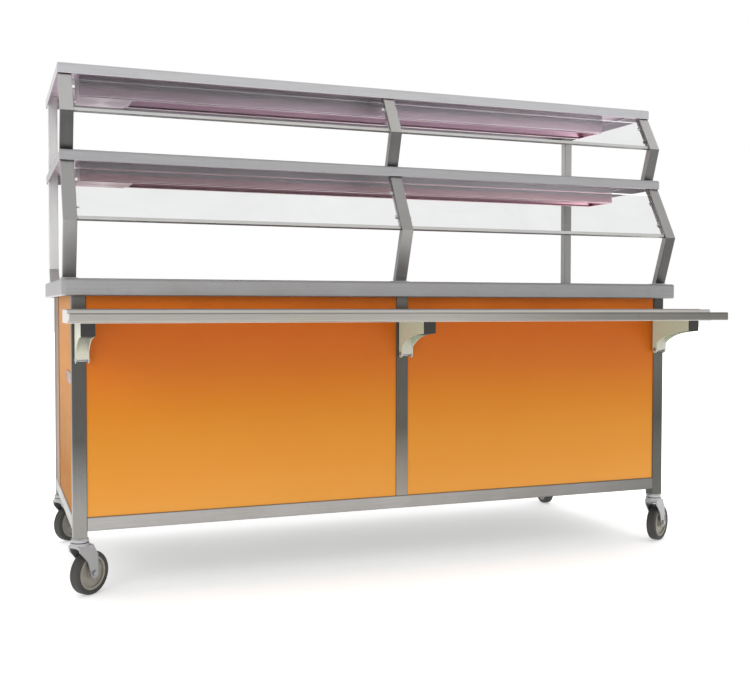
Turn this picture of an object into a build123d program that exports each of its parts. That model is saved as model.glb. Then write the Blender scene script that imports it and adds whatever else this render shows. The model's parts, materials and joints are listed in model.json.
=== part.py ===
"""Mobile cafeteria serving counter: cabinet on swivel casters, double-tier
shelf with breath guard and heat strips, and a fold-down tray slide.

Millimetres, +Z up, the customer side faces -Y, +X is to the right as seen
from the customer side.  The working coordinates below are measured from the
left face (x), the front face (y) of the cabinet posts and the floor (z); ORIGIN moves
them to the middle of the overall footprint when a shape is placed.
"""
from build123d import *
import math
import os

os.makedirs("parts", exist_ok=True)

# ---------------------------------------------------------------- overall
ORIGIN_X = 1026.46         # working x of the row's origin
ORIGIN_Y = 273.62          # working y of the row's origin
LENGTH = 2010.0            # cabinet over the corner posts
DEPTH = 765.0
COUNTER_H = 914.4          # 36 in working height
UPPER_H = 1548.0           # top of the upper shelf

# ---------------------------------------------------------------- cabinet
TUBE = 40.0                # square tube of posts and rails
WALL = 2.0
POST_BOTTOM = 172.0
RAIL_BOTTOM = 191.5
RAIL_TOP = RAIL_BOTTOM + TUBE
SHEET = 2.0                # stainless sheet of counter, shelves and decks
TOP_RAIL_TOP = COUNTER_H - SHEET
TOP_RAIL_BOTTOM = TOP_RAIL_TOP - TUBE
CENTRE_X = 1012.0          # middle of the front centre post
PANEL_SET_BACK = 4.0
PANEL_T = 6.0
STILE_Y = 575.0            # joint between coloured end panel and steel stile
MID_SHELF_Z = 545.0

# ---------------------------------------------------------------- counter
COUNTER_EDGE = 50.0
COUNTER_OVER_END = 28.0
COUNTER_OVER_FRONT = 30.0
COUNTER_OVER_REAR = 25.0

# ------------------------------------------------------------- shelf tiers
SHELF_END = 25.0           # shelf past the cabinet post face
SHELF_REAR = 720.0
SHELF_EDGE = 31.0
LOW_TOP, LOW_FRONT = 1287.0, 63.0
UP_TOP, UP_FRONT = UPPER_H, 128.0
GP_W, GP_D = 38.0, 24.0    # guard post width (x) and depth (y)
GP_X = (-22.0, CENTRE_X + 5.0 - GP_W / 2, LENGTH - 16.0)
GP_FRONT = [(25.0, COUNTER_H), (-34.0, 1076.0), (70.0, 1257.0), (98.0, 1290.0),
            (62.0, 1398.0), (134.0, 1519.0), (149.0, UP_TOP - SHEET)]
RP_W = 31.0                # rear post
RP_Y = 645.0
RP_X = (-22.0, LENGTH - 9.0)

# --------------------------------------------------------------- fixtures
FIX_Y0, FIX_Y1 = 235.0, 385.0
FIX_X0 = 45.0
BOX_X1 = 195.0
LOW_FIX_X1, UP_FIX_X1 = 1950.0, 1905.0
LOW_FIX_Z, UP_FIX_Z = 1218.0, 1474.0
ROD_R = 5.0
GLAND_X, GLAND_Z = 54.0, 818.0

# ------------------------------------------------------------- tray slide
SLIDE_X0, SLIDE_X1 = -27.0, 2037.0
SLIDE_REAR, SLIDE_STEP, SLIDE_FRONT = -40.0, -212.0, -303.0
SLIDE_Z0, SLIDE_Z1 = 790.0, 827.0
BEAD = 1.5                 # height of the beads on the slide's top
BAR = 25.0
BAR_Z0 = 793.0
ARM_W, ARM_T = 38.0, 2.5
ARM_X = (27.0, 1019.0, 1983.0)      # middles of the three arms
PIVOT_Y, PIVOT_Z = -14.0, 686.0
PIVOT_PIN_R, PIVOT_HOLE_R = 4.0, 4.05
ARM_R = 12.5

# ----------------------------------------------------------------- casters
WHEEL_R = 63.5             # 5 in wheel
WHEEL_W = 32.0
TRAIL = 36.0
AXLE_R, HUB_BORE_R = 5.0, 5.05
KING_R, KING_HOLE_R = 6.0, 6.05
FORK_IN, FORK_T = 18.0, 4.0
CASTERS = {                # swivel axis x, y and heading of the trail (deg)
    "fl": (20.0, 20.0, 39.0),
    "fr": (LENGTH - 20.0, 20.0, 31.0),
    "rl": (20.0, DEPTH - 20.0, 39.0),
    "rr": (LENGTH - 20.0, DEPTH - 20.0, 84.0),
}


# ================================================================ helpers
def box(x0, x1, y0, y1, z0, z1):
    return Pos((x0 + x1) / 2 - ORIGIN_X, (y0 + y1) / 2 - ORIGIN_Y,
               (z0 + z1) / 2) * Box(x1 - x0, y1 - y0, z1 - z0)


def tube_along(axis, x0, x1, y0, y1, z0, z1, t=WALL, r=3.0):
    """Square tube with rounded outer corners, open at both ends."""
    outer = box(x0, x1, y0, y1, z0, z1)
    outer = fillet(outer.edges().filter_by(axis), r)
    g = 5.0
    if axis == Axis.X:
        inner = box(x0 - g, x1 + g, y0 + t, y1 - t, z0 + t, z1 - t)
    elif axis == Axis.Y:
        inner = box(x0 + t, x1 - t, y0 - g, y1 + g, z0 + t, z1 - t)
    else:
        inner = box(x0 + t, x1 - t, y0 + t, y1 - t, z0 - g, z1 + g)
    return outer - inner


def yz_plane(x):
    return Plane(origin=(x - ORIGIN_X, -ORIGIN_Y, 0), x_dir=(0, 1, 0),
                 z_dir=(1, 0, 0))


def prism_x(pts, x0, x1):
    """Closed outline of (y, z) points, extruded from x0 to x1."""
    face = yz_plane(x0) * Polygon(*pts, align=None)
    return extrude(face, amount=x1 - x0, dir=(1, 0, 0))


def cyl_x(x0, x1, y, z, r):
    return (Pos((x0 + x1) / 2 - ORIGIN_X, y - ORIGIN_Y, z) * Rot(0, 90, 0)
            * Cylinder(r, x1 - x0))


def cyl_y(x, y0, y1, z, r):
    return (Pos(x - ORIGIN_X, (y0 + y1) / 2 - ORIGIN_Y, z) * Rot(90, 0, 0)
            * Cylinder(r, y1 - y0))


def cyl_z(x, y, z0, z1, r):
    return Pos(x - ORIGIN_X, y - ORIGIN_Y, (z0 + z1) / 2) * Cylinder(r, z1 - z0)


def group(shapes):
    solids = []
    for s in shapes:
        solids.extend(s.solids())
    return Compound(children=solids)


PARTS = {}


def put(name, shape):
    if isinstance(shape, (list, tuple)):
        shape = group(shape)
    PARTS[name] = shape


# ================================================================ cabinet
X_POSTS = {"left": 0.0, "right": LENGTH - TUBE}
Y_POSTS = {"front": 0.0, "rear": DEPTH - TUBE}
for yn, y0 in Y_POSTS.items():
    put(f"corner_posts_{yn}", [tube_along(Axis.Z, x0, x0 + TUBE, y0, y0 + TUBE,
                                          POST_BOTTOM, TOP_RAIL_TOP)
                               for x0 in X_POSTS.values()])
put("post_front_centre",
    tube_along(Axis.Z, CENTRE_X - TUBE / 2, CENTRE_X + TUBE / 2, 0, TUBE,
               RAIL_TOP, TOP_RAIL_BOTTOM))


def rail_set(z0, z1):
    return [tube_along(Axis.X, TUBE, LENGTH - TUBE, 0, TUBE, z0, z1),
            tube_along(Axis.X, TUBE, LENGTH - TUBE, DEPTH - TUBE, DEPTH, z0, z1),
            tube_along(Axis.Y, 0, TUBE, TUBE, DEPTH - TUBE, z0, z1),
            tube_along(Axis.Y, LENGTH - TUBE, LENGTH, TUBE, DEPTH - TUBE, z0, z1)]


put("bottom_rails", rail_set(RAIL_BOTTOM, RAIL_TOP))
put("top_rails", rail_set(TOP_RAIL_BOTTOM, TOP_RAIL_TOP))

PY0, PY1 = PANEL_SET_BACK, PANEL_SET_BACK + PANEL_T
put("panel_front_left", box(TUBE, CENTRE_X - TUBE / 2, PY0, PY1,
                            RAIL_TOP, TOP_RAIL_BOTTOM))
put("panel_front_right", box(CENTRE_X + TUBE / 2, LENGTH - TUBE, PY0, PY1,
                             RAIL_TOP, TOP_RAIL_BOTTOM))
put("end_panels", [box(PY0, PY1, TUBE, STILE_Y, RAIL_TOP, TOP_RAIL_BOTTOM),
                   box(LENGTH - PY1, LENGTH - PY0, TUBE, STILE_Y,
                       RAIL_TOP, TOP_RAIL_BOTTOM)])
put("end_stiles", [box(PY0 - 2.0, PY1, STILE_Y, DEPTH - TUBE, RAIL_TOP,
                       TOP_RAIL_BOTTOM),
                   box(LENGTH - PY1, LENGTH - PY0 + 2.0, STILE_Y, DEPTH - TUBE,
                       RAIL_TOP, TOP_RAIL_BOTTOM)])


def deck(z_top, drop):
    """Folded sheet between the panels, notched at the posts, with its
    operator-side edge turned down."""
    y1 = DEPTH - 2.0
    d = box(PY1, LENGTH - PY1, PY1, y1, z_top - SHEET, z_top)
    if drop:
        d += box(TUBE + 1, LENGTH - TUBE - 1, y1 - SHEET, y1, z_top - drop, z_top)
        d += box(TUBE + 1, LENGTH - TUBE - 1, y1 - 14, y1, z_top - drop,
                 z_top - drop + SHEET)
    c = 0.5
    for x0 in (0.0, LENGTH - TUBE):
        for y0 in (0.0, DEPTH - TUBE):
            d -= box(x0 - c, x0 + TUBE + c, y0 - c, y0 + TUBE + c,
                     z_top - 60, z_top + 10)
    d -= box(CENTRE_X - TUBE / 2 - c, CENTRE_X + TUBE / 2 + c, -c, TUBE + c,
             z_top - 60, z_top + 10)
    return d


put("bottom_deck", deck(RAIL_TOP + SHEET, 0))
put("mid_shelf", deck(MID_SHELF_Z, 30.0))

# counter top: one folded sheet with a deep rounded edge and a return lip
cx0, cx1 = -COUNTER_OVER_END, LENGTH + COUNTER_OVER_END
cy0, cy1 = -COUNTER_OVER_FRONT, DEPTH + COUNTER_OVER_REAR
ct = box(cx0, cx1, cy0, cy1, COUNTER_H - COUNTER_EDGE, COUNTER_H)
ct = fillet(ct.edges().filter_by(Axis.Z), 14.0)
ct = fillet(ct.edges().group_by(Axis.Z)[-1], 7.0)
ct = fillet(ct.edges().group_by(Axis.Z)[0], 4.0)
core = box(cx0 + SHEET, cx1 - SHEET, cy0 + SHEET, cy1 - SHEET,
           COUNTER_H - COUNTER_EDGE + SHEET + 2, COUNTER_H - SHEET)
core = fillet(core.edges().filter_by(Axis.Z), 12.0)
core = fillet(core.edges().group_by(Axis.Z)[-1], 5.0)
mouth = box(cx0 + 14, cx1 - 14, cy0 + 14, cy1 - 14,
            COUNTER_H - COUNTER_EDGE - 5, COUNTER_H - SHEET - 6)
# the posts and rails reach the underside of the sheet
seat = box(-1.0, LENGTH + 1.0, -1.0, DEPTH + 1.0,
           COUNTER_H - COUNTER_EDGE - 5, COUNTER_H - SHEET)
put("countertop", ct - core - mouth - seat)

# oval blank cover plate on the left end panel
oval = Pos(PY0 - ORIGIN_X, 150.0 - ORIGIN_Y, 626.0) * Rot(0, -90, 0) * extrude(
    SlotOverall(180.0, 34.0, rotation=90), amount=2.0)
put("end_cover_plate", oval)


# ============================================================ shelf tiers
def guard_post(x0):
    front = GP_FRONT
    back = [(y + GP_D, z) for y, z in reversed(front)]
    p = prism_x(front + back, x0, x0 + GP_W)
    side = [e for e in p.edges()
            if abs(e.tangent_at(0.5).X) < 0.01]
    p = fillet(side, 1.5)
    inner = [(y + 2.0, z) for y, z in front]
    inner[0] = (inner[0][0], inner[0][1] - 2)
    inner[-1] = (inner[-1][0], inner[-1][1] + 2)
    back_in = [(y + GP_D - 4.0, z) for y, z in reversed(inner)]
    return p - prism_x(inner + back_in, x0 + 2.0, x0 + GP_W - 2.0)


for nm, x0 in zip(("left", "centre", "right"), GP_X):
    put(f"guard_post_{nm}", guard_post(x0))

rear_posts = []
for x0 in RP_X:
    rear_posts.append(tube_along(Axis.Z, x0, x0 + RP_W, RP_Y, RP_Y + RP_W,
                                 COUNTER_H, UP_TOP - SHEET, t=1.5, r=2.0))
put("rear_posts", rear_posts)


def shelf(z_top, front, cut_posts):
    x0, x1 = -SHELF_END, LENGTH + SHELF_END
    z0 = z_top - SHELF_EDGE
    s = box(x0, x1, front, SHELF_REAR, z0, z_top)
    s = fillet(s.edges().filter_by(Axis.Z), 4.0)
    s = fillet(s.edges().group_by(Axis.Z)[-1], 6.0)
    inner = box(x0 + SHEET, x1 - SHEET, front + SHEET, SHELF_REAR - SHEET,
                z0 - 5, z_top - SHEET)
    inner = fillet(inner.edges().filter_by(Axis.Z), 2.0)
    inner = fillet(inner.edges().group_by(Axis.Z)[-1], 4.0)
    s -= inner
    # turned-in lips along the front and rear edges between the posts
    for a, b in ((GP_X[0] + GP_W + 4, GP_X[1] - 4), (GP_X[1] + GP_W + 4, GP_X[2] - 4)):
        s += box(a, b, front + 1, front + 13, z0, z0 + SHEET)
    s += box(20, LENGTH - 20, SHELF_REAR - 13, SHELF_REAR - 1, z0, z0 + SHEET)
    for x in GP_X:
        if cut_posts:
            s -= box(x - 0.6, x + GP_W + 0.6, GP_FRONT[2][0] - 1.5,
                     GP_FRONT[3][0] + GP_D + 1.5, z_top - SHEET - 7, z_top + 4)
    for x in RP_X:
        if cut_posts:
            s -= box(x - 0.6, x + RP_W + 0.6, RP_Y - 0.6, RP_Y + RP_W + 0.6,
                     z_top - SHEET - 7, z_top + 4)
    return s


def post_seats(z_top):
    """Flat pads under the upper sheet where the post tops meet it."""
    s = []
    for x in GP_X:
        s.append(box(x, x + GP_W, 130, 185, z_top - SHEET - 6, z_top - SHEET))
    for x in RP_X:
        s.append(box(x, x + RP_W, RP_Y, RP_Y + RP_W, z_top - SHEET - 6,
                     z_top - SHEET))
    return s


put("shelf_lower", shelf(LOW_TOP, LOW_FRONT, True))
up = shelf(UP_TOP, UP_FRONT, False)
for s in post_seats(UP_TOP):
    up -= s
put("shelf_upper", up)


# feet: thin plates under the guard posts and the right rear post, a wedge
# foot at the left rear post
feet = []
for x in GP_X:
    f = box(x - 5, x + GP_W + 5, 25 - 7, 25 + GP_D + 7, COUNTER_H, COUNTER_H + 3)
    f -= prism_x([(22.5, COUNTER_H - 1), (16.5, COUNTER_H + 14.5),
                  (16.5 + GP_D + 6.0, COUNTER_H + 14.5), (22.5 + GP_D + 6.0, COUNTER_H - 1)],
                 x - 0.3, x + GP_W + 0.3)
    feet.append(f)
x = RP_X[0]
feet.append(prism_x([(RP_Y - 48, COUNTER_H), (RP_Y, COUNTER_H),
                     (RP_Y, COUNTER_H + 46), (RP_Y - 4, COUNTER_H + 46),
                     (RP_Y - 48, COUNTER_H + 4)], x, x + RP_W))
x = RP_X[1]
feet.append(box(x - 5, x + RP_W + 5, RP_Y - 7, RP_Y + RP_W + 7, COUNTER_H,
                COUNTER_H + 3)
            - box(x - 0.3, x + RP_W + 0.3, RP_Y - 0.3, RP_Y + RP_W + 0.3,
                  COUNTER_H - 1, COUNTER_H + 4))
put("post_feet", feet)


# -------------------------------------------------- glass, trims and clips
def guard_line(i0, i1, t):
    """Point at fraction t between two outline points of the guard post."""
    (ya, za), (yb, zb) = GP_FRONT[i0], GP_FRONT[i1]
    return ya + (yb - ya) * t, za + (zb - za) * t


GLASS_T = 6.0


def pane(x0, x1, seg, t0, t1):
    """Pane lying inside the depth of the leaning segment of the posts."""
    (ya, za), (yb, zb) = GP_FRONT[seg], GP_FRONT[seg + 1]
    ln = math.hypot(yb - ya, zb - za)
    ny, nz = (zb - za) / ln, -(yb - ya) / ln      # towards the operator
    off = 8.0
    p0 = guard_line(seg, seg + 1, t0)
    p1 = guard_line(seg, seg + 1, t1)
    pts = [(p0[0] + ny * off, p0[1] + nz * off),
           (p1[0] + ny * off, p1[1] + nz * off),
           (p1[0] + ny * (off + GLASS_T), p1[1] + nz * (off + GLASS_T)),
           (p0[0] + ny * (off + GLASS_T), p0[1] + nz * (off + GLASS_T))]
    return prism_x(pts, x0, x1)


def trim(x0, x1, seg, t0):
    """U-shaped metal edge along the bottom of a pane."""
    (ya, za), (yb, zb) = GP_FRONT[seg], GP_FRONT[seg + 1]
    ln = math.hypot(yb - ya, zb - za)
    ny, nz = (zb - za) / ln, -(yb - ya) / ln
    sy, sz = (yb - ya) / ln, (zb - za) / ln       # up the slope
    p = guard_line(seg, seg + 1, t0)

    def q(n, s):
        return (p[0] + ny * n + sy * s, p[1] + nz * n + sz * s)
    a, b, c = 8.0, 8.0 + GLASS_T, 1.5
    pts = [q(a - c, -2), q(b + c, -2), q(b + c, 9), q(b, 9), q(b, 0), q(a, 0),
           q(a, 9), q(a - c, 9)]
    return prism_x(pts, x0, x1)


GAP = 1.0
bays = [(GP_X[0] + GP_W + GAP, GP_X[1] - GAP), (GP_X[1] + GP_W + GAP, GP_X[2] - GAP)]
tiers = {"lower": (1, 0.05, 0.90), "upper": (4, 0.06, 0.90)}
trims = []
for tn, (seg, t0, t1) in tiers.items():
    for (a, b), sn in zip(bays, ("left", "right")):
        put(f"glass_{tn}_{sn}", pane(a, b, seg, t0, t1))
        trims.append(trim(a, b, seg, t0))
put("glass_trims", trims)


def clip(x, w, seg, t):
    """Small pad on the operator side that presses a pane to its post."""
    (ya, za), (yb, zb) = GP_FRONT[seg], GP_FRONT[seg + 1]
    ln = math.hypot(yb - ya, zb - za)
    ny, nz = (zb - za) / ln, -(yb - ya) / ln
    sy, sz = (yb - ya) / ln, (zb - za) / ln
    p = guard_line(seg, seg + 1, t)

    def q(n, s):
        return (p[0] + ny * n + sy * s, p[1] + nz * n + sz * s)
    a = 8.0 + GLASS_T
    return prism_x([q(a, -6), q(a, 6), q(a + 3, 6), q(a + 3, -6)], x, x + w)


CLIP_W = 8.0
clips = []
for tn, (seg, t0, t1) in tiers.items():
    for a, b in bays:
        for t in (0.28, 0.72):
            clips.append(clip(a - GAP, CLIP_W, seg, t))
            clips.append(clip(b + GAP - CLIP_W, CLIP_W, seg, t))
put("glass_clips", clips)


# =============================================================== fixtures
def fixture(z0, z_sheet, x0, x1):
    """Long housing open below, with turned-in lips and closed ends."""
    h = box(x0, x1, FIX_Y0, FIX_Y1, z0, z_sheet)
    h = fillet(h.edges().filter_by(Axis.X).group_by(Axis.Z)[0], 4.0)
    h -= box(x0 + 1.5, x1 - 1.5, FIX_Y0 + 1.5, FIX_Y1 - 1.5, z0 + 1.5,
             z_sheet - 1.5)
    h -= box(x0 + 12, x1 - 12, FIX_Y0 + 16, FIX_Y1 - 16, z0 - 2, z0 + 5)
    return h


def reflector(z0, z_sheet, x0, x1):
    m = (FIX_Y0 + FIX_Y1) / 2
    outer = [(m - 58, z0 + 5), (m - 26, z_sheet - 8), (m + 26, z_sheet - 8),
             (m + 58, z0 + 5)]
    inner = [(m + 56.0, z0 + 5), (m + 25.2, z_sheet - 9.4),
             (m - 25.2, z_sheet - 9.4), (m - 56.0, z0 + 5)]
    return prism_x(outer + inner, x0, x1)


def holder(z_rod, z_roof, x, w):
    m = (FIX_Y0 + FIX_Y1) / 2
    b = box(x, x + w, m - 12, m + 12, z_rod - 10, z_roof)
    return b - cyl_x(x - 1, x + w + 1, m, z_rod, ROD_R + 0.15)


def switch_box(z0, z_sheet):
    b = box(FIX_X0, BOX_X1 - 0.5, FIX_Y0 - 4, FIX_Y1 + 4, z0 - 2, z_sheet)
    b = fillet(b.edges().filter_by(Axis.X).group_by(Axis.Z)[0], 4.0)
    b -= box(FIX_X0 + 2, BOX_X1 - 2.5, FIX_Y0 - 2, FIX_Y1 + 2, z0, z_sheet - 2)
    zc = (z0 + z_sheet) / 2 - 4
    xc = (FIX_X0 + BOX_X1) / 2
    y = FIX_Y1 + 4
    b += box(xc - 14, xc + 14, y, y + 2, zc - 18, zc + 18)
    b -= box(xc - 10.4, xc + 10.4, y - 8, y + 5, zc - 14, zc + 14)
    return b


def rocker(z0, z_sheet):
    """Switch rocker drawn pressed in at its upper half."""
    zc = (z0 + z_sheet) / 2 - 4
    xc = (FIX_X0 + BOX_X1) / 2
    y = FIX_Y1 + 4
    yc = y - 2.0
    pts = []
    for dy, dz in ((-4, -12.6), (5.0, -12.6), (3.4, 0), (5.0, 12.6), (-4, 12.6)):
        a = math.radians(8)
        pts.append((yc + dy * math.cos(a) - dz * math.sin(a),
                    zc + dy * math.sin(a) + dz * math.cos(a)))
    return prism_x(pts, xc - 10.0, xc + 10.0)


Z_LOW_SHEET, Z_UP_SHEET = LOW_TOP - SHEET, UP_TOP - SHEET
put("heater_housings", [fixture(LOW_FIX_Z, Z_LOW_SHEET, BOX_X1, LOW_FIX_X1),
                        fixture(UP_FIX_Z, Z_UP_SHEET, BOX_X1, UP_FIX_X1)])
LOW_ROD_Z, UP_ROD_Z = LOW_FIX_Z + 22, UP_FIX_Z + 22
MID_Y = (FIX_Y0 + FIX_Y1) / 2
put("heater_rods", [cyl_x(BOX_X1 + 6, LOW_FIX_X1 - 6, MID_Y, LOW_ROD_Z, ROD_R),
                    cyl_x(BOX_X1 + 6, UP_FIX_X1 - 6, MID_Y, UP_ROD_Z, ROD_R)])
hold = []
for z0, zs, x1 in ((LOW_FIX_Z, Z_LOW_SHEET, LOW_FIX_X1), (UP_FIX_Z, Z_UP_SHEET, UP_FIX_X1)):
    for x in (BOX_X1 + 12, (BOX_X1 + x1) / 2 - 9, x1 - 30):
        hold.append(holder(z0 + 22, zs - 9.4, x, 18))
put("rod_holders", hold)
put("reflectors", [reflector(LOW_FIX_Z, Z_LOW_SHEET, BOX_X1 + 4, LOW_FIX_X1 - 4),
                   reflector(UP_FIX_Z, Z_UP_SHEET, BOX_X1 + 4, UP_FIX_X1 - 4)])
put("switch_boxes", [switch_box(LOW_FIX_Z, Z_LOW_SHEET),
                     switch_box(UP_FIX_Z, Z_UP_SHEET)])
put("rocker_lower", rocker(LOW_FIX_Z, Z_LOW_SHEET))
put("rocker_upper", rocker(UP_FIX_Z, Z_UP_SHEET))

# junction box with its cord gland, inside the cabinet at the left rear
jx0, jx1, jy0, jy1, jz0, jz1 = PY1, PY1 + 62.0, 600.0, 700.0, 775.0, 860.0
jb = box(jx0, jx1, jy0, jy1, jz0, jz1)
jb = fillet(jb.edges().filter_by(Axis.Z), 4.0)
jb -= box(jx0 + 2, jx1 - 2, jy0 + 2, jy1 - 2, jz0 + 2, jz1 - 2)
gx, gz = GLAND_X, GLAND_Z                # clear of the rear corner post
jb -= cyl_y(gx, jy1 - 6, jy1 + 6, gz, 10.2)
put("junction_box", jb)
gl = cyl_y(gx, jy1 - 8, jy1 + 1, gz, 10.0)
gl += (Pos(gx - ORIGIN_X, jy1 - ORIGIN_Y, gz) * Rot(-90, 0, 0)
       * extrude(RegularPolygon(14.0, 6), amount=8.0))
gl += cyl_y(gx, jy1 + 8, jy1 + 20, gz, 11.0)
gl -= cyl_y(gx, jy1 - 12, jy1 + 25, gz, 4.5)
put("cord_gland", gl)


# ============================================================= tray slide
def slide_top():
    y0, ys, yr = SLIDE_FRONT + BAR, SLIDE_STEP, SLIDE_REAR
    zt, zb, t = SLIDE_Z1, SLIDE_Z0, SHEET
    zl = BAR_Z0 + BAR - 3.0                  # lower front strip
    outer = [(yr, zb), (yr, zt), (ys, zt), (ys - 5, zl), (y0, zl),
             (y0, zl - t), (ys - 5 + 2, zl - t), (ys - 5 + 2, zb),
             (ys + 14, zb), (ys + 14, zb + t), (ys - 1, zb + t),
             (ys + 1.6, zt - t), (yr - t, zt - t), (yr - t, zb + t),
             (yr - 16, zb + t), (yr - 16, zb)]
    s = prism_x(outer, SLIDE_X0 + 2, SLIDE_X1 - 2)
    # raised beads the trays run on
    for y in (-70.0, -126.0, -182.0):
        s += prism_x([(y - 7, zt - 0.4), (y - 4, zt + BEAD), (y + 4, zt + BEAD),
                      (y + 7, zt - 0.4)], SLIDE_X0 + 22, SLIDE_X1 - 22)
    return s


def slide_cap(x0, x1):
    y0, ys, yr = SLIDE_FRONT + BAR, SLIDE_STEP, SLIDE_REAR
    zl = BAR_Z0 + BAR - 3.0
    return prism_x([(yr, SLIDE_Z0), (yr, SLIDE_Z1), (ys, SLIDE_Z1),
                    (ys - 5, zl), (y0, zl), (y0, zl - 10), (ys - 3, SLIDE_Z0)],
                   x0, x1)


put("tray_slide_top", slide_top() + slide_cap(SLIDE_X0, SLIDE_X0 + 2)
    + slide_cap(SLIDE_X1 - 2, SLIDE_X1))
bar = box(SLIDE_X0, SLIDE_X1, SLIDE_FRONT, SLIDE_FRONT + BAR, BAR_Z0, BAR_Z0 + BAR)
bar = fillet(bar.edges().filter_by(Axis.X), 4.0)
bar -= box(SLIDE_X0 + 3, SLIDE_X1 - 3, SLIDE_FRONT + 2, SLIDE_FRONT + BAR - 2,
           BAR_Z0 + 2, BAR_Z0 + BAR - 2)
bar -= box(1689.4, 1690.6, SLIDE_FRONT - 1, SLIDE_FRONT + 0.6, BAR_Z0 - 1,
           BAR_Z0 + BAR + 1)
put("tray_slide_bar", bar)


def arm(xm):
    """Folded arm: two cheeks, a top web and a front web on the leg."""
    x0, x1 = xm - ARM_W / 2, xm + ARM_W / 2
    yb, yf, yt = PIVOT_Y + ARM_R, PIVOT_Y - ARM_R, -197.0
    z_tip = 754.5
    pl = yz_plane(x0)

    def outline():
        with BuildSketch(pl) as sk:
            with BuildLine():
                Polyline((yb, PIVOT_Z), (yb, SLIDE_Z0), (yt, SLIDE_Z0), (yt, z_tip))
                Spline((yt, z_tip), (-130.0, 747.5), (-72.0, 733.0), (yf, 708.0))
                Line((yf, 708.0), (yf, PIVOT_Z))
                ThreePointArc((yf, PIVOT_Z), (PIVOT_Y, PIVOT_Z - ARM_R), (yb, PIVOT_Z))
            make_face()
        return sk.sketch
    a = extrude(outline(), amount=ARM_W, dir=(1, 0, 0))
    a -= box(x0 + ARM_T, x1 - ARM_T, yt - 5, yb + 5, PIVOT_Z - 30, SLIDE_Z0 - ARM_T)
    # front web closes the leg from the pivot up to the top web
    a += box(x0, x1, yf, yf + ARM_T, PIVOT_Z, 709.0)
    a += box(x0 + ARM_T - 0.5, x1 - ARM_T + 0.5, yf, yf + ARM_T, 700.0,
             SLIDE_Z0 - ARM_T + 0.5)
    a -= cyl_x(x0 - 1, x1 + 1, PIVOT_Y, PIVOT_Z, PIVOT_HOLE_R)
    return a


def arm_cap(xm):
    """Dark plug that closes the front end of an arm."""
    x0, x1 = xm - ARM_W / 2, xm + ARM_W / 2
    c = box(x0, x1, -200.0, -197.0, 754.5, SLIDE_Z0)
    c = fillet(c.edges().filter_by(Axis.Y), 2.0)
    return c + box(x0 + ARM_T + 0.2, x1 - ARM_T - 0.2, -197.0, -186.0, 758.0,
                   SLIDE_Z0 - ARM_T - 0.2)


def wall_clip(xm):
    """Fixed clip on the post that carries the pivot pin of an arm."""
    w = ARM_W / 2 - ARM_T - 0.5
    c = box(xm - w, xm + w, -3.0, 0.0, 678.0, 726.0)
    for s in (-1, 1):
        a, b = (xm - w, xm - w + 2.5) if s < 0 else (xm + w - 2.5, xm + w)
        ear = prism_x([(-3.0, 678.0), (PIVOT_Y, 678.5), (PIVOT_Y, 694.5),
                       (-3.0, 704.0)], a, b)
        ear += cyl_x(a, b, PIVOT_Y, PIVOT_Z, 8.5)
        c += ear
    c -= cyl_x(xm - w - 1, xm + w + 1, PIVOT_Y, PIVOT_Z, PIVOT_PIN_R)
    return c


def pivot_pin(xm):
    p = cyl_x(xm - ARM_W / 2 - 0.4, xm + ARM_W / 2 + 0.4, PIVOT_Y, PIVOT_Z, PIVOT_PIN_R)
    for a, b in ((xm - ARM_W / 2 - 2.2, xm - ARM_W / 2 - 0.4),
                 (xm + ARM_W / 2 + 0.4, xm + ARM_W / 2 + 2.2)):
        h = cyl_x(a, b, PIVOT_Y, PIVOT_Z, 6.0)
        p += h
    return p


put("slide_arms", [arm(x) for x in ARM_X])
put("arm_end_caps", [arm_cap(x) for x in ARM_X])
put("slide_wall_clips", [wall_clip(x) for x in ARM_X])


# ============================================================== fasteners
def pan_head(x, y, z, axis, r=4.5, h=2.6):
    """Low round head standing on a face at x, y, z."""
    d = Cylinder(r, h, align=(Align.CENTER, Align.CENTER, Align.MIN))
    d = fillet(d.edges().group_by(Axis.Z)[-1], h * 0.45)
    rot = {"-y": Rot(90, 0, 0), "+y": Rot(-90, 0, 0), "+z": Rot(0, 0, 0),
           "-x": Rot(0, -90, 0), "+x": Rot(0, 90, 0), "-z": Rot(180, 0, 0)}[axis]
    return Pos(x - ORIGIN_X, y - ORIGIN_Y, z) * rot * d


screws = []
for xm in ARM_X:                                   # wall clips to posts
    screws.append(pan_head(xm, -3.0, 716.0, "-y"))
for x in (FIX_X0 + 20, BOX_X1 - 22):               # switch box covers
    for z in ((LOW_FIX_Z + Z_LOW_SHEET) / 2, (UP_FIX_Z + Z_UP_SHEET) / 2):
        screws.append(pan_head(x, FIX_Y1 + 4, z, "+y", 3.5, 2.0))
for y in (78.0, 222.0):                            # oval cover plate
    screws.append(pan_head(PY0 - 2.0, y, 626.0, "-x", 3.0, 1.2))
for y in (620.0, 680.0):                           # junction box cover
    screws.append(pan_head(jx1, y, 790.0, "+x", 3.5, 2.0))
for x in RP_X:                                     # rear post feet
    screws.append(pan_head(x + RP_W / 2, RP_Y + RP_W, COUNTER_H + 25, "+y", 4.0, 2.0))
put("screws_and_pins", screws + [pivot_pin(x) for x in ARM_X])


# ================================================================ casters
def caster_frame(key):
    x, y, a = CASTERS[key]
    return Pos(x - ORIGIN_X, y - ORIGIN_Y, 0) * Rot(0, 0, a)


def disc_y(x, z, r, y0, y1):
    return Pos(x, (y0 + y1) / 2, z) * Rot(90, 0, 0) * Cylinder(r, y1 - y0)


def xz_prism(pts, y0, y1):
    """Outline of local (x, z) points extruded from y0 to y1."""
    pl = Plane(origin=(0, y1, 0), x_dir=(1, 0, 0), z_dir=(0, -1, 0))
    return extrude(pl * Polygon(*pts, align=None), amount=y1 - y0, dir=(0, -1, 0))


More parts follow.
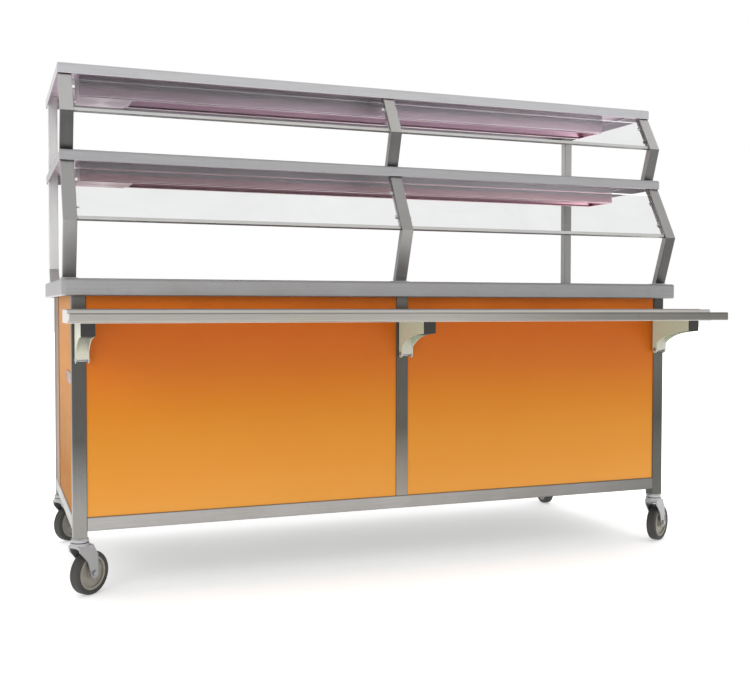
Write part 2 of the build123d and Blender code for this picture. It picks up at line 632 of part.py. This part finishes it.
def stem(x, y):
    """Fixed top of a caster: plug in the post, flange, race and king pin."""
    s = box(x - 17.8, x + 17.8, y - 17.8, y + 17.8, POST_BOTTOM, POST_BOTTOM + 38)
    fl = box(x - 21, x + 21, y - 21, y + 21, POST_BOTTOM - 3, POST_BOTTOM)
    fl = fillet(fl.edges().filter_by(Axis.Z), 5.0)
    s += fl
    s += cyl_z(x, y, 160.0, POST_BOTTOM - 3, 25.0)
    s += cyl_z(x, y, 140.0, 160.0, KING_R)
    s += cyl_z(x, y, 136.5, 140.0, 9.0)
    return s


def fork(brake):
    zc = 154.0
    crown = Pos(0, 0, zc) * Cylinder(27.0, 10.0)
    crown = fillet(crown.edges().group_by(Axis.Z)[-1], 2.0)
    plate = Pos(4, 0, 147.0) * Box(54, 2 * (FORK_IN + FORK_T), 6.0)
    f = crown + plate
    for s in (-1, 1):
        y0, y1 = (FORK_IN, FORK_IN + FORK_T) if s > 0 else (-FORK_IN - FORK_T, -FORK_IN)
        leg = xz_prism([(-23, 150), (31, 150), (TRAIL + 14, 118), (TRAIL + 14.5, WHEEL_R),
                        (TRAIL - 14.5, WHEEL_R), (TRAIL - 26, 100), (-19, 132)], y0, y1)
        leg += disc_y(TRAIL, WHEEL_R, 14.5, y0, y1)
        f += leg
        if brake:
            f += xz_prism([(20, 150), (60, 150), (60, 131), (40, 126)], y0, y1)
    f -= Pos(0, 0, 150) * Cylinder(KING_HOLE_R, 40)
    f -= Pos(0, 0, 138.0) * Cylinder(9.6, 12.2)
    for s in (-1, 1):
        f -= disc_y(TRAIL, WHEEL_R, AXLE_R, s * 12 - 14 if s < 0 else 10, -10 if s < 0 else 26)
    if brake:
        f -= disc_y(50, 140.0, 3.0, -30, 30)
    return f


def axle():
    w = FORK_IN + FORK_T
    a = disc_y(TRAIL, WHEEL_R, AXLE_R, -w - 1, w + 1)
    a += disc_y(TRAIL, WHEEL_R, 8.5, w, w + 5)
    a += disc_y(TRAIL, WHEEL_R, 8.0, -w - 5, -w)
    return a


def tyre():
    w = WHEEL_W / 2
    t = disc_y(TRAIL, WHEEL_R, WHEEL_R, -w, w)
    t = fillet(t.edges().filter_by(GeomType.CIRCLE), 7.0)
    return t - disc_y(TRAIL, WHEEL_R, 50.0, -w - 1, w + 1)


def hub():
    w = WHEEL_W / 2
    h = disc_y(TRAIL, WHEEL_R, 50.0, -w + 2, w - 2)
    for s in (-1, 1):
        a, b = (w - 7, w + 3) if s > 0 else (-w - 3, -w + 7)
        ring = disc_y(TRAIL, WHEEL_R, 42.0, a, b) - disc_y(TRAIL, WHEEL_R, 18.0, a - 1, b + 1)
        h -= ring
    h += disc_y(TRAIL, WHEEL_R, 13.0, -w - 1, w + 1)
    return h - disc_y(TRAIL, WHEEL_R, HUB_BORE_R, -w - 3, w + 3)


def pedal():
    """Brake pedal drawn set, its shoe just over the tyre."""
    w = FORK_IN - 0.6
    p = disc_y(50, 140.0, 8.0, -w, w)
    p += xz_prism([(50, 143), (62, 147), (104, 132), (103, 129), (62, 139), (50, 136)], -w, w)
    p += xz_prism([(56, 141), (66, 141), (66, 120.5), (56, 124.6)], -12, 12)
    p -= disc_y(50, 140.0, 3.05, -w - 1, w + 1)
    return p


def pedal_pin():
    w = FORK_IN + FORK_T
    return (disc_y(50, 140.0, 3.0, -w - 0.5, w + 0.5)
            + disc_y(50, 140.0, 5.0, w, w + 2.5) + disc_y(50, 140.0, 5.0, -w - 2.5, -w))


put("caster_stems", [stem(x, y) for x, y, a in CASTERS.values()])
for key in CASTERS:
    fr = caster_frame(key)
    brake = key.startswith("r")
    put(f"fork_{key}", fr * fork(brake))
    put(f"fork_pins_{key}" if brake else f"axle_{key}",
        [fr * axle(), fr * pedal_pin()] if brake else fr * axle())
    put(f"tyre_{key}", fr * tyre())
    put(f"hub_{key}", fr * hub())
    if brake:
        put(f"brake_pedal_{key}", fr * pedal())

# ================================================================= export
for name, shape in PARTS.items():
    export_step(shape, f"parts/{name}.step")
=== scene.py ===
import bpy, bmesh, math, json
from mathutils import Vector, Matrix

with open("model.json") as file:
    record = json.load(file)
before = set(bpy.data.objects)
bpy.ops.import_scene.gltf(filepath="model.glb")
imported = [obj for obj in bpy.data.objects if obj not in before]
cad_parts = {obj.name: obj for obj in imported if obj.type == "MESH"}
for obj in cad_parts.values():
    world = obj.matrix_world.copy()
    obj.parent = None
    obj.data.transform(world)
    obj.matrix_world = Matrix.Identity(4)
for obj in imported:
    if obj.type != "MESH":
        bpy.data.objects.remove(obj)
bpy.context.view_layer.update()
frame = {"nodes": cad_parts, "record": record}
NODES = frame["nodes"]
REC = frame["record"]
OX, OY = 1.02646, 0.27362          # working frame (cabinet corner) to row frame


def P(x, y, z):
    """Working coordinates in mm (cabinet's left front corner) to the row frame in m."""
    return Vector((x / 1000 - OX, y / 1000 - OY, z / 1000))


# ------------------------------------------------------------ node helpers
class Mat:
    def __init__(self, name):
        self.m = bpy.data.materials.new(name)
        self.m.use_nodes = True
        self.t = self.m.node_tree
        self.n = self.t.nodes
        self.l = self.t.links
        self.b = self.n["Principled BSDF"]
        self.coord = self.n.new("ShaderNodeTexCoord").outputs["Object"]

    def put(self, socket, value):
        self.b.inputs[socket].default_value = value

    def link(self, a, b):
        self.l.new(a, b)

    def noise(self, scale, detail=4.0, rough=0.55, stretch=(1, 1, 1), distort=0.0):
        mp = self.n.new("ShaderNodeMapping")
        mp.inputs["Scale"].default_value = stretch
        self.link(self.coord, mp.inputs["Vector"])
        t = self.n.new("ShaderNodeTexNoise")
        t.inputs["Scale"].default_value = scale
        t.inputs["Detail"].default_value = detail
        t.inputs["Roughness"].default_value = rough
        t.inputs["Distortion"].default_value = distort
        self.link(mp.outputs["Vector"], t.inputs["Vector"])
        return t.outputs["Fac"]

    def ramp(self, fac, stops):
        r = self.n.new("ShaderNodeValToRGB")
        e = r.color_ramp.elements
        e[0].position, e[0].color = stops[0][0], (*stops[0][1], 1)
        e[1].position, e[1].color = stops[-1][0], (*stops[-1][1], 1)
        for p, c in stops[1:-1]:
            k = e.new(p)
            k.color = (*c, 1)
        self.link(fac, r.inputs["Fac"])
        return r.outputs["Color"]

    def remap(self, fac, lo, hi, a=0.0, b=1.0):
        r = self.n.new("ShaderNodeMapRange")
        r.inputs["From Min"].default_value = a
        r.inputs["From Max"].default_value = b
        r.inputs["To Min"].default_value = lo
        r.inputs["To Max"].default_value = hi
        self.link(fac, r.inputs["Value"])
        return r.outputs["Result"]

    def mix(self, fac, a, b, mode="MIX"):
        x = self.n.new("ShaderNodeMix")
        x.data_type = "RGBA"
        x.blend_type = mode
        if isinstance(fac, float):
            x.inputs["Factor"].default_value = fac
        else:
            self.link(fac, x.inputs["Factor"])
        for s, v in (("A", a), ("B", b)):
            i = [k for k in x.inputs if k.name == s and k.type == "RGBA"][0]
            if isinstance(v, (tuple, list)):
                i.default_value = (*v[:3], 1)
            else:
                self.link(v, i)
        return [o for o in x.outputs if o.type == "RGBA"][0]

    def math(self, op, a, b):
        x = self.n.new("ShaderNodeMath")
        x.operation = op
        for i, v in enumerate((a, b)):
            if isinstance(v, (int, float)):
                x.inputs[i].default_value = v
            else:
                self.link(v, x.inputs[i])
        return x.outputs[0]

    def vary(self, base, shade_grads):
        """Multiply by grey factors that run along an axis, painted light and shade: (axis, [(m, factor)])."""
        for k, st in shade_grads:
            p0, p1 = st[0][0], st[-1][0]
            f = self.remap(self.axis(k), 0.0, 1.0, p0, p1)
            stops = [((p - p0) / (p1 - p0), v if isinstance(v, tuple) else (v, v, v))
                     for p, v in st]
            base = self.mix(1.0, base, self.ramp(f, stops), "MULTIPLY")
        return base

    def facing(self, k, lo, hi):
        """1 where the surface's own normal points along axis k past lo..hi."""
        g = self.n.new("ShaderNodeNewGeometry")
        s = self.n.new("ShaderNodeSeparateXYZ")
        self.link(g.outputs["Normal"], s.inputs[0])
        return self.remap(s.outputs[k], 0.0, 1.0, lo, hi)

    def axis(self, k):
        s = self.n.new("ShaderNodeSeparateXYZ")
        self.link(self.coord, s.inputs[0])
        return s.outputs[k]

    def bump(self, heights, bevel=0.0015):
        """heights: list of (fac, strength, distance)."""
        last = None
        if bevel:
            bv = self.n.new("ShaderNodeBevel")
            bv.samples = 4
            bv.inputs["Radius"].default_value = bevel
            last = bv.outputs["Normal"]
        for fac, st, dist in heights:
            b = self.n.new("ShaderNodeBump")
            b.inputs["Strength"].default_value = st
            b.inputs["Distance"].default_value = dist
            self.link(fac, b.inputs["Height"])
            if last is not None:
                self.link(last, b.inputs["Normal"])
            last = b.outputs["Normal"]
        self.link(last, self.b.inputs["Normal"])


def lin(r, g, b):
    def f(c):
        c /= 255.0
        return c / 12.92 if c <= 0.04045 else ((c + 0.055) / 1.055) ** 2.4
    return (f(r), f(g), f(b))


def steel(name, col, rough=0.34, grain="x", strength=0.12, bevel=0.0016, metal=1.0,
          smudge=0.10, shade_grads=(), under_shade_glow=None, right=None, up=None, down_shade=None, back_shade=None):
    """Brushed stainless: fine grain along one axis, soft smudges, slight tarnish; the axis gradients and facing
    factors paint light and shade into the colour.
    """
    m = Mat(name)
    st = {"x": (1.2, 160, 160), "y": (160, 1.2, 160), "z": (160, 160, 1.2)}[grain]
    g = m.noise(6.0, 6.0, 0.7, st)
    big = m.noise(3.2, 5.0, 0.6, (1, 1, 1), 0.6)
    spots = m.noise(38.0, 3.0, 0.5)
    c0 = tuple(k * 0.80 for k in col)
    c1 = tuple(min(1.0, k * 1.14) for k in col)
    base = m.ramp(g, [(0.25, c0), (0.75, c1)])
    warm = tuple(k * w for k, w in zip(col, (0.92, 0.86, 0.76)))
    base = m.mix(m.remap(big, 0.0, 0.34, 0.45, 0.75), base, warm)
    base = m.mix(m.remap(spots, 0.0, 0.16, 0.58, 0.80), base, tuple(k * 0.6 for k in col))
    plain = base
    # painted light and shade: colour darkened or lightened along an axis
    base = m.vary(base, shade_grads)
    if right:                       # painted shade: the right-hand piece of a pair is darker, as if it stood in shade
        base = m.mix(m.remap(m.axis(0), 0.0, 1.0, -0.1, 0.1), base, m.vary(plain, right))
    if back_shade:                        # painted shade: faces turned to the operator's side are darker
        base = m.mix(m.facing(1, 0.3, 0.7), base, m.vary(plain, ((2, [(0.0, back_shade), (2.0, back_shade)]),)))
    if up:                          # painted shade: faces that lean back are darker, against the top light
        base = m.mix(m.facing(2, 0.15, 0.40), base, m.vary(plain, up))
    if down_shade:                        # painted shade: faces that lean forward over the worktop are darker
        base = m.mix(m.facing(2, -0.10, -0.30), base, m.vary(plain, down_shade))
    if under_shade_glow:                       # painted shade and heater glow, partly real heat tint: faces turned to the heaters are darker and mauve
        base = m.mix(m.facing(2, -0.2, -0.7), base, m.vary(m.ramp(g, [
            (0.2, tuple(k * 0.88 for k in under_shade_glow)), (0.8, under_shade_glow)]), shade_grads))
    m.link(base, m.b.inputs["Base Color"])
    m.put("Metallic", metal)
    r1 = m.remap(g, rough - 0.05, rough + 0.07, 0.2, 0.8)
    r2 = m.math("ADD", r1, m.remap(big, 0.0, smudge, 0.4, 0.75))
    m.link(r2, m.b.inputs["Roughness"])
    m.put("Anisotropic", 0.45)
    m.bump([(g, strength, 0.0004), (big, 0.05, 0.003)], bevel)
    return m.m


def laminate(name, stops, rough=0.42, spec=0.22):
    """Orange laminate: faint mottling and orange peel; the colour ramp along z is painted light and shade, paler
    towards the floor.
    """
    m = Mat(name)
    z0, z1 = stops[0][0], stops[-1][0]
    z = m.remap(m.axis(2), 0.0, 1.0, z0, z1)
    wob = m.math("ADD", z, m.remap(m.noise(2.2, 4.0, 0.6, (1, 1, 0.6)), -0.06, 0.06))
    base = m.ramp(wob, [((p - z0) / (z1 - z0), c) for p, c in stops])
    top = stops[-1][1]
    mot = m.noise(26.0, 5.0, 0.6)
    base = m.mix(m.remap(mot, 0.0, 0.07, 0.35, 0.75), base, tuple(k * 0.78 for k in top))
    fine = m.noise(900.0, 2.0, 0.5)
    m.link(base, m.b.inputs["Base Color"])
    scuff = m.noise(5.0, 6.0, 0.7, (1, 1, 3.0), 1.0)
    m.link(m.remap(scuff, rough, rough + 0.16, 0.4, 0.75), m.b.inputs["Roughness"])
    m.put("Specular IOR Level", spec)
    m.bump([(fine, 0.06, 0.0002), (mot, 0.03, 0.001)], 0.001)
    return m.m


def plastic(name, col, rough=0.5, fine=600.0, strength=0.12, var=0.25, bevel=0.0008, metal=0.0):
    m = Mat(name)
    a = m.noise(30.0, 4.0, 0.6)
    b = m.noise(fine, 3.0, 0.6)
    base = m.ramp(a, [(0.3, tuple(k * (1 - var) for k in col)),
                      (0.7, tuple(min(1, k * (1 + var)) for k in col))])
    m.link(base, m.b.inputs["Base Color"])
    m.put("Metallic", metal)
    m.link(m.remap(a, rough - 0.08, rough + 0.10, 0.3, 0.7), m.b.inputs["Roughness"])
    m.bump([(b, strength, 0.0003)], bevel)
    return m.m


def painted(name, col, rough=0.42, inner_shade=None):
    """Paint over steel with dust in it and worn, darker edges, and a painted tint on the side cheeks.

    Channels given as (list of x middles, half width, z) have their inner faces
    above z painted near black as painted shade.
    """
    m = Mat(name)
    a = m.noise(14.0, 6.0, 0.65)
    b = m.noise(420.0, 3.0, 0.6)
    wear = m.noise(55.0, 8.0, 0.75, (1, 1, 1), 0.8)
    base = m.ramp(a, [(0.3, tuple(k * 0.86 for k in col)), (0.7, tuple(min(1, k * 1.06) for k in col))])
    base = m.mix(m.remap(wear, 0.0, 0.85, 0.62, 0.72), base, tuple(k * 0.45 for k in col))
    # painted light: the cheeks facing along x, except on the left arm, are tinted greener against the orange bounce
    # light they catch
    painted_cheek_tint = m.math("MAXIMUM", m.facing(0, 0.6, 0.9), m.facing(0, -0.6, -0.9))
    painted_cheek_tint = m.math("MULTIPLY", painted_cheek_tint, m.remap(m.axis(0), 0.0, 1.0, -0.90, -0.80))
    base = m.mix(painted_cheek_tint, base, tuple(k * t for k, t in zip(col, (1.06, 1.24, 1.16))))
    if inner_shade:
        xs, half, z0 = inner_shade
        inner_shade_mask = None
        for x in xs:
            c = m.n.new("ShaderNodeMath")
            c.operation = "COMPARE"
            m.link(m.axis(0), c.inputs[0])
            c.inputs[1].default_value = x
            c.inputs[2].default_value = half
            inner_shade_mask = c.outputs[0] if inner_shade_mask is None else m.math("MAXIMUM", inner_shade_mask, c.outputs[0])
        # painted shade: the channels' inner faces above z are made near black
        inner_shade_mask = m.math("MULTIPLY", inner_shade_mask, m.remap(m.axis(2), 0.0, 1.0, z0 - 0.004, z0 + 0.004))
        base = m.mix(inner_shade_mask, base, m.ramp(a, [(0.3, (0.020, 0.024, 0.021)), (0.7, (0.040, 0.046, 0.040))]))
    m.link(base, m.b.inputs["Base Color"])
    m.link(m.remap(a, rough - 0.06, rough + 0.12, 0.3, 0.7), m.b.inputs["Roughness"])
    m.bump([(b, 0.10, 0.0003), (a, 0.05, 0.001)], 0.0010)
    return m.m


def glass(name):
    """Clear toughened glass with a faint grey veil and smears."""
    m = Mat(name)
    a = m.noise(4.0, 5.0, 0.6, (1, 1, 2.0), 0.8)
    fine = m.noise(60.0, 4.0, 0.6)
    m.link(m.ramp(a, [(0.3, (0.815, 0.82, 0.82)), (0.7, (0.865, 0.87, 0.87))]), m.b.inputs["Base Color"])
    m.put("Transmission Weight", 1.0)
    m.put("IOR", 1.06)
    m.link(m.remap(a, 0.01, 0.07, 0.4, 0.8), m.b.inputs["Roughness"])
    m.bump([(fine, 0.004, 0.0001)], 0.0)
    return m.m


def rubber(name, col):
    m = Mat(name)
    a = m.noise(22.0, 6.0, 0.7)
    b = m.noise(320.0, 4.0, 0.65)
    base = m.ramp(a, [(0.3, col), (0.75, tuple(k * 1.9 + 0.008 for k in col))])
    m.link(base, m.b.inputs["Base Color"])
    m.link(m.remap(a, 0.55, 0.78, 0.3, 0.7), m.b.inputs["Roughness"])
    m.bump([(b, 0.25, 0.0005), (a, 0.08, 0.001)], 0.001)
    return m.m


def glow(name, col, power):
    m = Mat(name)
    a = m.noise(9.0, 4.0, 0.6, (0.5, 1, 1))
    m.link(m.ramp(a, [(0.3, tuple(k * 0.6 for k in col)), (0.7, col)]), m.b.inputs["Base Color"])
    m.put("Roughness", 0.6)
    m.link(m.ramp(a, [(0.3, (0.9, 0.16, 0.05)), (0.7, (1.0, 0.28, 0.10))]), m.b.inputs["Emission Color"])
    m.link(m.remap(a, power * 0.8, power * 1.2, 0.3, 0.7), m.b.inputs["Emission Strength"])
    m.bump([(a, 0.05, 0.0005)], 0.0)
    return m.m


Z_LOW, Z_UP = 1.287, 1.548
X0, X1 = -1.03, 0.99
# Painted light and shade: the guard steel is darkened segment by segment after the way its faces lean (low, lean,
# up1, up2) and darkened overall, a little less near the top.
def guard(name, low, lean, up1, up2):
    lean_shade_z = (2, [(0.914, lean), (1.290, lean), (1.398, up2), (1.546, up2)])
    down_shade_z = (2, [(0.914, low), (1.076, low), (1.290, up1), (1.398, up1)])
    return steel(name, lin(201, 200, 198), 0.36, "z", up=(lean_shade_z,), down_shade=(down_shade_z,),
                 shade_grads=((2, [(0.914, 0.5), (1.546, 0.6)]),))


# Painted shade and heater glow for the heater fixtures and reflectors: darker towards the left end, with mauve and
# darker grey bands by height.
UNDER_SHADE_X = (0, [(X0, 0.51), (-0.6, 0.59), (-0.1, 0.74), (0.25, 0.84), (0.6, 0.98)])
UNDER_SHADE_GLOW_Z = (2, [(1.216, (0.94, 0.69, 0.75)), (1.236, (0.92, 0.69, 0.75)),
               (1.247, (0.78, 0.77, 0.80)), (1.290, (0.76, 0.77, 0.80)),
               (1.460, (1.02, 0.83, 0.94)), (1.496, (1.02, 0.85, 0.95)),
               (1.509, (0.96, 0.93, 0.97)), (1.550, (0.94, 0.93, 0.97))])
MATS = {
    # painted light and shade: front posts lighter near the floor, darker at mid height, the right-hand post darker
    # still
    "post": steel("tube_steel_z", lin(150, 149, 145), 0.38, "z",
                  shade_grads=((2, [(0.17, 0.86), (0.245, 0.84), (0.33, 0.59), (0.45, 0.27), (0.78, 0.26), (0.85, 0.55)]),),
                  right=((2, [(0.17, 0.38), (0.30, 0.34), (0.45, 0.22), (0.64, 0.35), (0.85, 0.26)]),)),
    "post_r": steel("tube_steel_rear_z", lin(130, 129, 126), 0.38, "z"),
    "post_c": steel("tube_steel_centre_z", lin(152, 146, 138), 0.38, "z",
                    shade_grads=((2, [(0.23, 0.86), (0.33, 0.62), (0.45, 0.29), (0.78, 0.28), (0.85, 0.55)]),)),
    # painted shade: rails and worktop darker towards the right end
    "rail": steel("rail_steel_x", lin(160, 159, 157), 0.36, "x",
                  shade_grads=((0, [(X0, 0.94), (0.0, 0.88), (X1, 0.46)]),)),
    "counter": steel("counter_steel_x", lin(162, 161, 162), 0.34, "x", 0.10, 0.0022,
                     shade_grads=((0, [(X0, 1.0), (X1, 0.82)]),)),
    # painted shade and heater glow, partly real heat tint: the shelf undersides are darker and mauve
    "shelf_up": steel("shelf_steel_upper_x", lin(206, 206, 209), 0.34, "x", 0.10, 0.0022,
                      under_shade_glow=lin(164, 144, 156)),
    "shelf_low": steel("shelf_steel_lower_x", lin(176, 176, 178), 0.34, "x", 0.10, 0.0022,
                       under_shade_glow=lin(150, 130, 140)),
    # painted shade: the slide's top face and the bar's top edge are darker, the bar also towards the right end
    "slide": steel("slide_steel_x", lin(206, 203, 198), 0.36, "x", 0.10, 0.0012,
                   shade_grads=((2, [(0.79, 1.0), (0.8245, 1.0), (0.8262, 0.50), (0.83, 0.50)]),)),
    "bar": steel("slide_bar_steel_x", lin(160, 158, 151), 0.38, "x", 0.10, 0.0012,
                 shade_grads=((0, [(X0, 1.0), (0.0, 1.0), (0.55, 0.58), (1.05, 0.46)]),
                       (2, [(0.79, 1.0), (0.8165, 1.0), (0.8175, 0.60), (0.83, 0.60)]))),
    "stile": steel("stile_steel_z", (0.240, 0.145, 0.090), 0.42, "z"),
    "deck": steel("deck_steel_x", lin(150, 150, 148), 0.42, "x"),
    # painted light and shade: one copy of the guard steel per guard post
    "guard_l": guard("guard_steel_left_z", 0.41, 0.69, 0.13, 0.96),
    "guard_c": guard("guard_steel_centre_z", 0.53, 0.65, 0.18, 0.94),
    "guard_r": guard("guard_steel_right_z", 0.15, 0.71, 0.18, 0.95),
    # painted light and shade: the rear posts are near white as if lit, darker on faces turned back, on the right-hand
    # post and lower down
    "rear": steel("rear_post_steel_z", lin(250, 250, 248), 0.40, "z", metal=1.0, back_shade=0.42,
                  shade_grads=((2, [(0.914, 0.85), (1.25, 0.88), (1.35, 1.0)]),),
                  right=((2, [(0.914, 0.30), (1.25, 0.34), (1.35, 0.50)]),)),
    # painted shade and heater glow through the under-fixture bands
    "fixture": steel("fixture_steel_x", (0.86, 0.84, 0.85), 0.40, "x", shade_grads=(UNDER_SHADE_X, UNDER_SHADE_GLOW_Z)),
    "box": steel("box_steel_x", lin(150, 142, 148), 0.38, "x"),
    "trim": steel("trim_steel_x", lin(214, 214, 212), 0.40, "x"),
    # painted heater glow: the reflectors' aluminium is coloured pink, with the same painted shade and glow bands
    "reflect": steel("reflector_aluminium_x", (0.90, 0.69, 0.79), 0.30, "x", shade_grads=(UNDER_SHADE_X, UNDER_SHADE_GLOW_Z)),
    "plated": steel("plated_steel_z", lin(168, 169, 171), 0.40, "z", 0.06, 0.0010),
    # painted light and shade: paler low down where the floor light reaches, darker below the slide, brighter in the
    # band between slide and worktop lip
    "orange": laminate("orange_laminate", [
        (0.23, (0.67, 0.29, 0.044)), (0.34, (0.61, 0.240, 0.024)), (0.44, (0.562, 0.212, 0.014)),
        (0.54, (0.528, 0.170, 0.005)), (0.64, (0.505, 0.130, 0.004)), (0.74, (0.478, 0.103, 0.003)),
        (0.80, (0.478, 0.103, 0.003)), (0.84, (0.70, 0.168, 0.009)), (0.87, (0.85, 0.215, 0.014))]),
    # painted sheen and shade: the end panels get their own paler, cooler copy of the laminate, darker low down
    "orange_end_sheen": laminate("orange_laminate_end", [
        (0.23, (0.38, 0.150, 0.020)), (0.33, (0.351, 0.135, 0.016)), (0.48, (0.402, 0.182, 0.053)),
        (0.65, (0.488, 0.217, 0.061)), (0.87, (0.47, 0.22, 0.078))], 0.62, 0.06),
    "cover": plastic("cover_plate_brown", (0.16, 0.055, 0.02), 0.40, 500.0, 0.10, 0.15),
    "glass": glass("clear_glass"),
    "black": plastic("black_plastic", lin(26, 27, 26), 0.48, 500.0, 0.16),
    "ceramic": plastic("white_ceramic", lin(228, 224, 216), 0.35, 300.0, 0.05, 0.06),
    # painted shade inside the arm channels above z 0.748
    "cream": painted("cream_grey_paint", lin(190, 190, 174),
                     inner_shade=([0.027 - OX, 1.019 - OX, 1.983 - OX], 0.0168, 0.748)),
    "tyre": rubber("tyre_rubber", lin(44, 43, 41)),
    "hub": plastic("hub_grey", lin(142, 138, 128), 0.50, 500.0, 0.14, 0.16),
    "rod": glow("heater_rod_glow", lin(200, 60, 30), 2.2),
}

LOOK = {
    "corner_posts_front": "post", "corner_posts_rear": "post_r", "post_front_centre": "post_c",
    "bottom_rails": "rail", "top_rails": "rail", "rear_posts": "rear",
    "guard_post_left": "guard_l", "guard_post_centre": "guard_c", "guard_post_right": "guard_r",
    "post_feet": "trim", "countertop": "counter", "shelf_lower": "shelf_low",
    "shelf_upper": "shelf_up", "bottom_deck": "deck", "mid_shelf": "deck",
    "end_stiles": "stile", "heater_housings": "fixture", "switch_boxes": "fixture",
    "junction_box": "box", "tray_slide_top": "slide", "tray_slide_bar": "bar",
    "glass_trims": "trim", "glass_clips": "trim", "panel_front_left": "orange",
    "panel_front_right": "orange", "end_panels": "orange_end_sheen", "end_cover_plate": "cover",
    "reflectors": "reflect", "heater_rods": "rod", "rod_holders": "ceramic",
    "rocker_lower": "black", "rocker_upper": "black", "arm_end_caps": "black",
    "cord_gland": "black", "slide_arms": "cream",
}
for n, o in NODES.items():
    if n.startswith("glass_") and n not in LOOK:
        k = "glass"
    elif n.startswith("tyre"):
        k = "tyre"
    elif n.startswith("hub"):
        k = "hub"
    else:
        k = LOOK.get(n, "plated")
    o.data.materials.clear()
    o.data.materials.append(MATS[k])
    for p in o.data.polygons:
        p.material_index = 0

# ------------------------------------------------------------ floor, light
def plane(name, size, loc):
    me = bpy.data.meshes.new(name)
    s = size / 2
    me.from_pydata([(-s, -s, 0), (s, -s, 0), (s, s, 0), (-s, s, 0)], [], [(0, 1, 2, 3)])
    o = bpy.data.objects.new(name, me)
    o.location = loc
    bpy.context.scene.collection.objects.link(o)
    return o


fl = Mat("floor_pale")
fl.link(fl.ramp(fl.noise(1.5, 3.0), [(0.3, (0.90, 0.90, 0.90)), (0.7, (0.93, 0.93, 0.93))]),
        fl.b.inputs["Base Color"])
fl.put("Roughness", 0.9)
ln = fl.n.new("ShaderNodeVectorMath")
ln.operation = "LENGTH"
fl.link(fl.coord, ln.inputs[0])
fl.put("Emission Color", (1, 1, 1, 1))
fl.link(fl.remap(ln.outputs["Value"], 0.36, 0.85, 1.0, 3.0), fl.b.inputs["Emission Strength"])
floor = plane("floor", 60.0, (0, 0, -0.0005))
floor.data.materials.append(fl.m)

w = bpy.data.worlds.new("studio")
bpy.context.scene.world = w
w.use_nodes = True
nt = w.node_tree
bg = nt.nodes["Background"]
tc = nt.nodes.new("ShaderNodeTexCoord")
sx = nt.nodes.new("ShaderNodeSeparateXYZ")
nt.links.new(tc.outputs["Generated"], sx.inputs[0])
mr = nt.nodes.new("ShaderNodeMapRange")
mr.inputs["From Min"].default_value = -0.5
mr.inputs["From Max"].default_value = 0.25
mr.inputs["To Min"].default_value = 0.80
mr.inputs["To Max"].default_value = 1.0
nt.links.new(sx.outputs[1], mr.inputs["Value"])
nt.links.new(mr.outputs["Result"], bg.inputs["Strength"])
# the studio wall itself is seen plain white from every side
plain = nt.nodes.new("ShaderNodeBackground")
plain.inputs["Color"].default_value = (1, 1, 1, 1)
plain.inputs["Strength"].default_value = 1.0
lp = nt.nodes.new("ShaderNodeLightPath")
ms = nt.nodes.new("ShaderNodeMixShader")
nt.links.new(lp.outputs["Is Camera Ray"], ms.inputs[0])
nt.links.new(bg.outputs[0], ms.inputs[1])
nt.links.new(plain.outputs[0], ms.inputs[2])
nt.links.new(ms.outputs[0], nt.nodes["World Output"].inputs[0])
bg.inputs["Color"].default_value = (1, 1, 1, 1)


def area(name, loc, target, size, power, col=(1, 1, 1)):
    d = bpy.data.lights.new(name, "AREA")
    d.shape = "RECTANGLE"
    d.size, d.size_y = size
    d.energy = power
    d.color = col
    o = bpy.data.objects.new(name, d)
    o.location = loc
    o.rotation_euler = (Vector(target) - Vector(loc)).to_track_quat("-Z", "Y").to_euler()
    bpy.context.scene.collection.objects.link(o)
    return o


area("key_left", (-4.5, -4.0, 3.4), (0, 0, 0.8), (3.0, 2.0), 80).visible_glossy = False
area("top", (0.0, -0.5, 4.5), (0, 0, 0), (4.0, 3.0), 90).visible_glossy = False

# ------------------------------------------------------------ camera
cam = bpy.data.cameras.new("cam")
cam.sensor_width = 36.0
cam.lens = 36.0 * 1016.2 / 750.0
cam.clip_end = 200
co = bpy.data.objects.new("cam", cam)
bpy.context.scene.collection.objects.link(co)
yaw, pitch, roll = math.radians(20.976), math.radians(-1.776), math.radians(0.08)
fwd = Vector((math.sin(yaw) * math.cos(pitch), math.cos(yaw) * math.cos(pitch), math.sin(pitch)))
right = Vector((math.cos(yaw), -math.sin(yaw), 0))
up = right.cross(fwd)
r2 = right * math.cos(roll) + up * math.sin(roll)
u2 = -right * math.sin(roll) + up * math.cos(roll)
M = Matrix(((r2.x, u2.x, -fwd.x, 0), (r2.y, u2.y, -fwd.y, 0), (r2.z, u2.z, -fwd.z, 0), (0, 0, 0, 1)))
M.translation = Vector((-0.2267 - OX, -2.9881 - OY, 0.8386))
co.matrix_world = M
bpy.context.scene.camera = co
bpy.context.scene.view_settings.view_transform = "Standard"
bpy.context.scene.view_settings.look = "None"
